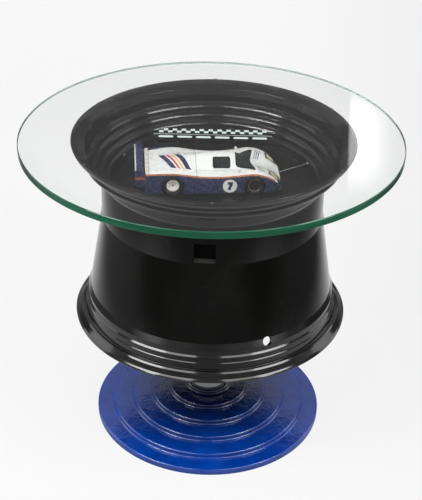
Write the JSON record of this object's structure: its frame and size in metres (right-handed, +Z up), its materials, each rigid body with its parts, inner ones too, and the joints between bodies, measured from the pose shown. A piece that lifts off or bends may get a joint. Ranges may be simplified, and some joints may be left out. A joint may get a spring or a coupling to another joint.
{
  "type": "car wheel coffee table",
  "caption": "Low round coffee table: clear glass top on an upright racing wheel, on a steel post and stepped blue cast base, with a scale model car displayed inside the wheel.",
  "frame": {"origin": "on the floor under the middle of the glass top; the wheel's axis stands 3.5 mm to +X and 10.6 mm to +Y of it", "axes": "+Z up along the wheel's axis; the model car's nose points to +X, turned slightly to +Y; the picture looks along +Y"},
  "size_m": [0.6, 0.6, 0.5309],
  "materials": {
    "blue_enamel": "glossy cobalt blue enamel over a rough casting",
    "bright_steel": "bright turned steel",
    "satin_black": "satin black paint on cast alloy",
    "gloss_black": "gloss black sheet",
    "clear_rubber": "clear soft bumper",
    "clear_glass": "clear float glass with a polished green edge",
    "model_paint": "gloss white and navy model paint",
    "model_navy": "gloss navy model paint",
    "model_glazing": "tinted clear moulding",
    "model_lens": "clear lamp lens",
    "model_trim": "matt dark grey",
    "model_tyre": "matt black rubber",
    "model_bronze": "bronze painted wheel disc",
    "model_alloy": "white painted wheel disc"
  },
  "bodies": {
    "table": {"base_casting": "blue_enamel", "centre_bolt_1": "bright_steel", "centre_bolt_2": "bright_steel", "centre_bolt_3": "bright_steel", "centre_bolt_4": "bright_steel", "centre_bolt_5": "bright_steel", "centre_bolt_6": "bright_steel", "clamp_plate": "bright_steel", "display_floor": "gloss_black", "glass_pad_1": "clear_rubber", "glass_pad_2": "clear_rubber", "glass_pad_3": "clear_rubber", "glass_pad_4": "clear_rubber", "glass_pad_5": "clear_rubber", "glass_pad_6": "clear_rubber", "lower_nut": "bright_steel", "lower_washer": "bright_steel", "model_body": "model_paint", "model_cockpit_tub": "model_trim", "model_floor_pan": "model_trim", "model_headlight_left": "model_lens", "model_headlight_right": "model_lens", "model_rear_wing": "model_navy", "model_seat": "model_trim", "model_side_window_left": "model_glazing", "model_side_window_right": "model_glazing", "model_windscreen": "model_glazing", "model_wing_plate_left": "model_navy", "model_wing_plate_right": "model_navy", "pedestal_post": "bright_steel", "tie_rod": "bright_steel", "tie_wire": "bright_steel", "upper_nut": "bright_steel", "well_screw_left": "bright_steel", "well_screw_right": "bright_steel", "wheel_centre": "satin_black", "wheel_rim": "satin_black"},
    "glass": {"glass_top": "clear_glass"},
    "front_axle_set": {"model_front_axle": "bright_steel", "model_front_disc_left": "model_bronze", "model_front_disc_right": "model_bronze", "model_front_tyre_left": "model_tyre", "model_front_tyre_right": "model_tyre"},
    "rear_axle_set": {"model_rear_axle": "bright_steel", "model_rear_disc_left": "model_alloy", "model_rear_disc_right": "model_alloy", "model_rear_tyre_left": "model_tyre", "model_rear_tyre_right": "model_tyre"}
  },
  "joints": [
    {"name": "glass_lift", "type": "slide", "parent": "table", "child": "glass", "axis": [0, 0, 1], "range_m": [0, 0.25]},
    {"name": "front_wheels_roll", "type": "hinge", "parent": "table", "child": "front_axle_set", "pos_m": [0.06538, 0.01571, 0.4525], "axis": [-0.0785, 0.9969, 0], "continuous": true},
    {"name": "rear_wheels_roll", "type": "hinge", "parent": "table", "child": "rear_axle_set", "pos_m": [-0.06233, 0.00566, 0.4535], "axis": [-0.0785, 0.9969, 0], "continuous": true}
  ]
}
